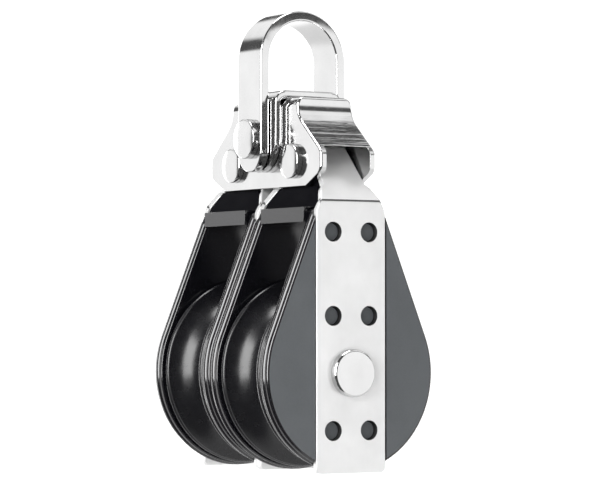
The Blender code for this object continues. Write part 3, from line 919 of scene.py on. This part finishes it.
# Directions are an azimuth, where 0 is -Y and 90 is +X, and an elevation, both in degrees.
# Heights of the world's lights are the sines of their elevations.
CAMERA_TURN = radians(32)  # of its view, from -X towards +Y
CAMERA_PITCH = radians(1.6)
CAMERA_DISTANCE = 0.462
CAMERA_ASIDE = 1.34 * MM
CAMERA_LENS = 178.8
TARGET_ABOVE_AXLE = 7.5 * MM  # of the camera and the lights
FLOOR_RADIUS = 3
FLOOR_DROP = 60 * MM  # from the lowest point of the block
LIGHT_DISTANCE = 0.7
LIGHTS = {  # direction, size and strength
    "key_light": ((25, 14), (0.5, 0.55), 10),
    "side_light": ((-84, 0), (0.3, 0.44), 2.6),
}
ROOM_LIGHT = 0.1
OVERHEAD_LIGHT = 11
OVERHEAD_EDGE = (0.94, 0.97)  # heights where the overhead panel starts and is full
SWEEP_DIRECTION = (210, 0)
SWEEP_EDGE = (-0.36, -0.26)  # cosines from its direction where the sweep starts and is full
SWEEP_LIGHT = 1.3
SWEEP_LEVELS = (  # (height, light) above the sweep: a dark gap, a tilted panel and a dark ceiling
    (0.25, SWEEP_LIGHT),
    (0.29, 0.04),
    (0.43, 0.04),
    (0.48, 1.2),
    (0.83, 1.2),
    (0.87, 0.05),
    (1, 0.05),
)
SWEEP_FOOT = (-0.5, -0.3)  # heights between which the sweep brightens from its foot
SWEEP_FOOT_SHARE = 0.75
FLAGS = (  # round black cards: direction, and the radii of the core and the soft edge in degrees
    ((197, 56), 10, 15),
    ((122, 22), 6, 12),
)
FLAG_SHARE = 0.02  # of the light that a card lets through


def direction(azimuth, elevation):
    a = radians(azimuth)
    e = radians(elevation)
    return Vector((sin(a) * cos(e), -cos(a) * cos(e), sin(e)))


def make_camera(target):
    data = bpy.data.cameras.new("camera")
    data.lens = CAMERA_LENS
    data.clip_start = 0.01
    camera = bpy.data.objects.new("camera", data)
    bpy.context.scene.collection.objects.link(camera)
    ahead = Vector((-cos(CAMERA_TURN), sin(CAMERA_TURN), 0))
    aside = Vector((sin(CAMERA_TURN), cos(CAMERA_TURN), 0))
    camera.location = target - ahead * CAMERA_DISTANCE + aside * CAMERA_ASIDE
    look = ahead * cos(CAMERA_PITCH) + Vector((0, 0, sin(CAMERA_PITCH)))
    camera.rotation_euler = look.to_track_quat("-Z", "Y").to_euler()
    bpy.context.scene.camera = camera


def add_softbox(name, target, towards, size, strength):
    data = bpy.data.lights.new(name, "AREA")
    data.shape = "RECTANGLE"
    data.size, data.size_y = size
    data.energy = strength * size[0] * size[1] * pi
    lamp = bpy.data.objects.new(name, data)
    bpy.context.scene.collection.objects.link(lamp)
    lamp.location = target + towards * LIGHT_DISTANCE
    lamp.rotation_euler = towards.to_track_quat("Z", "Y").to_euler()
    lamp.visible_camera = False


def combined(tree, operation, first, second):
    """Two values, each a number or a socket, put through a Math node."""
    node = tree.nodes.new("ShaderNodeMath")
    node.operation = operation
    for socket, value in zip(node.inputs, (first, second)):
        if isinstance(value, (int, float)):
            socket.default_value = value
        else:
            tree.links.new(value, socket)
    return node.outputs[0]


def soft_step(tree, source, edge, low, high):
    """A value that eases from low to high as the source crosses an edge of some width."""
    node = tree.nodes.new("ShaderNodeMapRange")
    node.interpolation_type = "SMOOTHSTEP"
    tree.links.new(source, node.inputs["Value"])
    for name, value in zip(("From Min", "From Max", "To Min", "To Max"), (*edge, low, high)):
        node.inputs[name].default_value = value
    return node.outputs[0]


def cosine_from(tree, place, towards):
    """The cosine of the angle between each direction and another one."""
    node = tree.nodes.new("ShaderNodeVectorMath")
    node.operation = "DOT_PRODUCT"
    node.inputs[1].default_value = towards
    tree.links.new(place, node.inputs[0])
    return node.outputs["Value"]


def sweep_levels(tree, height):
    node = tree.nodes.new("ShaderNodeValToRGB")
    tree.links.new(height, node.inputs["Fac"])
    stops = node.color_ramp.elements
    stops.remove(stops[-1])
    stops[0].color = (*grey(SWEEP_LIGHT), 1)
    for position, light in SWEEP_LEVELS:
        stops.new(position).color = (*grey(light), 1)
    return node.outputs["Color"]


def make_world():
    """A lit sweep round the back with black cards before it, a panel overhead and a dark room.

    The camera itself sees plain white.
    """
    world = bpy.data.worlds.new("studio")
    bpy.context.scene.world = world
    world.use_nodes = True
    tree = world.node_tree
    place = tree.nodes.new("ShaderNodeTexCoord").outputs["Generated"]
    height = cosine_from(tree, place, (0, 0, 1))
    round_back = cosine_from(tree, place, direction(*SWEEP_DIRECTION))
    sweep = soft_step(tree, round_back, SWEEP_EDGE, 0, 1)
    light = combined(tree, "MULTIPLY", sweep, sweep_levels(tree, height))
    foot = soft_step(tree, height, SWEEP_FOOT, SWEEP_FOOT_SHARE, 1)
    light = combined(tree, "MULTIPLY", light, foot)
    for middle, core, edge in FLAGS:
        from_middle = cosine_from(tree, place, direction(*middle))
        card_edge = (cos(radians(edge)), cos(radians(core)))
        card = soft_step(tree, from_middle, card_edge, 1, FLAG_SHARE)
        light = combined(tree, "MULTIPLY", light, card)
    overhead = soft_step(tree, height, OVERHEAD_EDGE, 0, OVERHEAD_LIGHT)
    light = combined(tree, "ADD", light, overhead)
    light = combined(tree, "MAXIMUM", light, ROOM_LIGHT)
    seen = tree.nodes.new("ShaderNodeLightPath").outputs["Is Camera Ray"]
    light = combined(tree, "MAXIMUM", light, seen)
    background = tree.nodes["Background"]
    background.inputs["Color"].default_value = (1, 1, 1, 1)
    tree.links.new(light, background.inputs["Strength"])


def make_floor():
    shape = bmesh.new()
    bmesh.ops.create_circle(shape, cap_ends=True, segments=2 * FINE, radius=FLOOR_RADIUS)
    floor = object_from("floor", shape, (0, 0, cad_box[0].z - FLOOR_DROP))
    paper = surface(
        "paper", (grey(0.9), grey(0.92)), roughness=(0.8, 0.9), grain=0.02, grain_scale=60
    )
    floor.data.materials.append(paper)
    floor.visible_glossy = False


def make_stage():
    target = Vector((0, 0, AXLE_Z + TARGET_ABOVE_AXLE))
    make_camera(target)
    make_world()
    make_floor()
    for name, (place, size, strength) in LIGHTS.items():
        add_softbox(name, target, direction(*place), size, strength)
    bpy.context.scene.view_settings.view_transform = "Standard"


# ------------------------------------------------------------------------------------------------

fit(make_shackle() | make_head() | make_units())
make_stage()
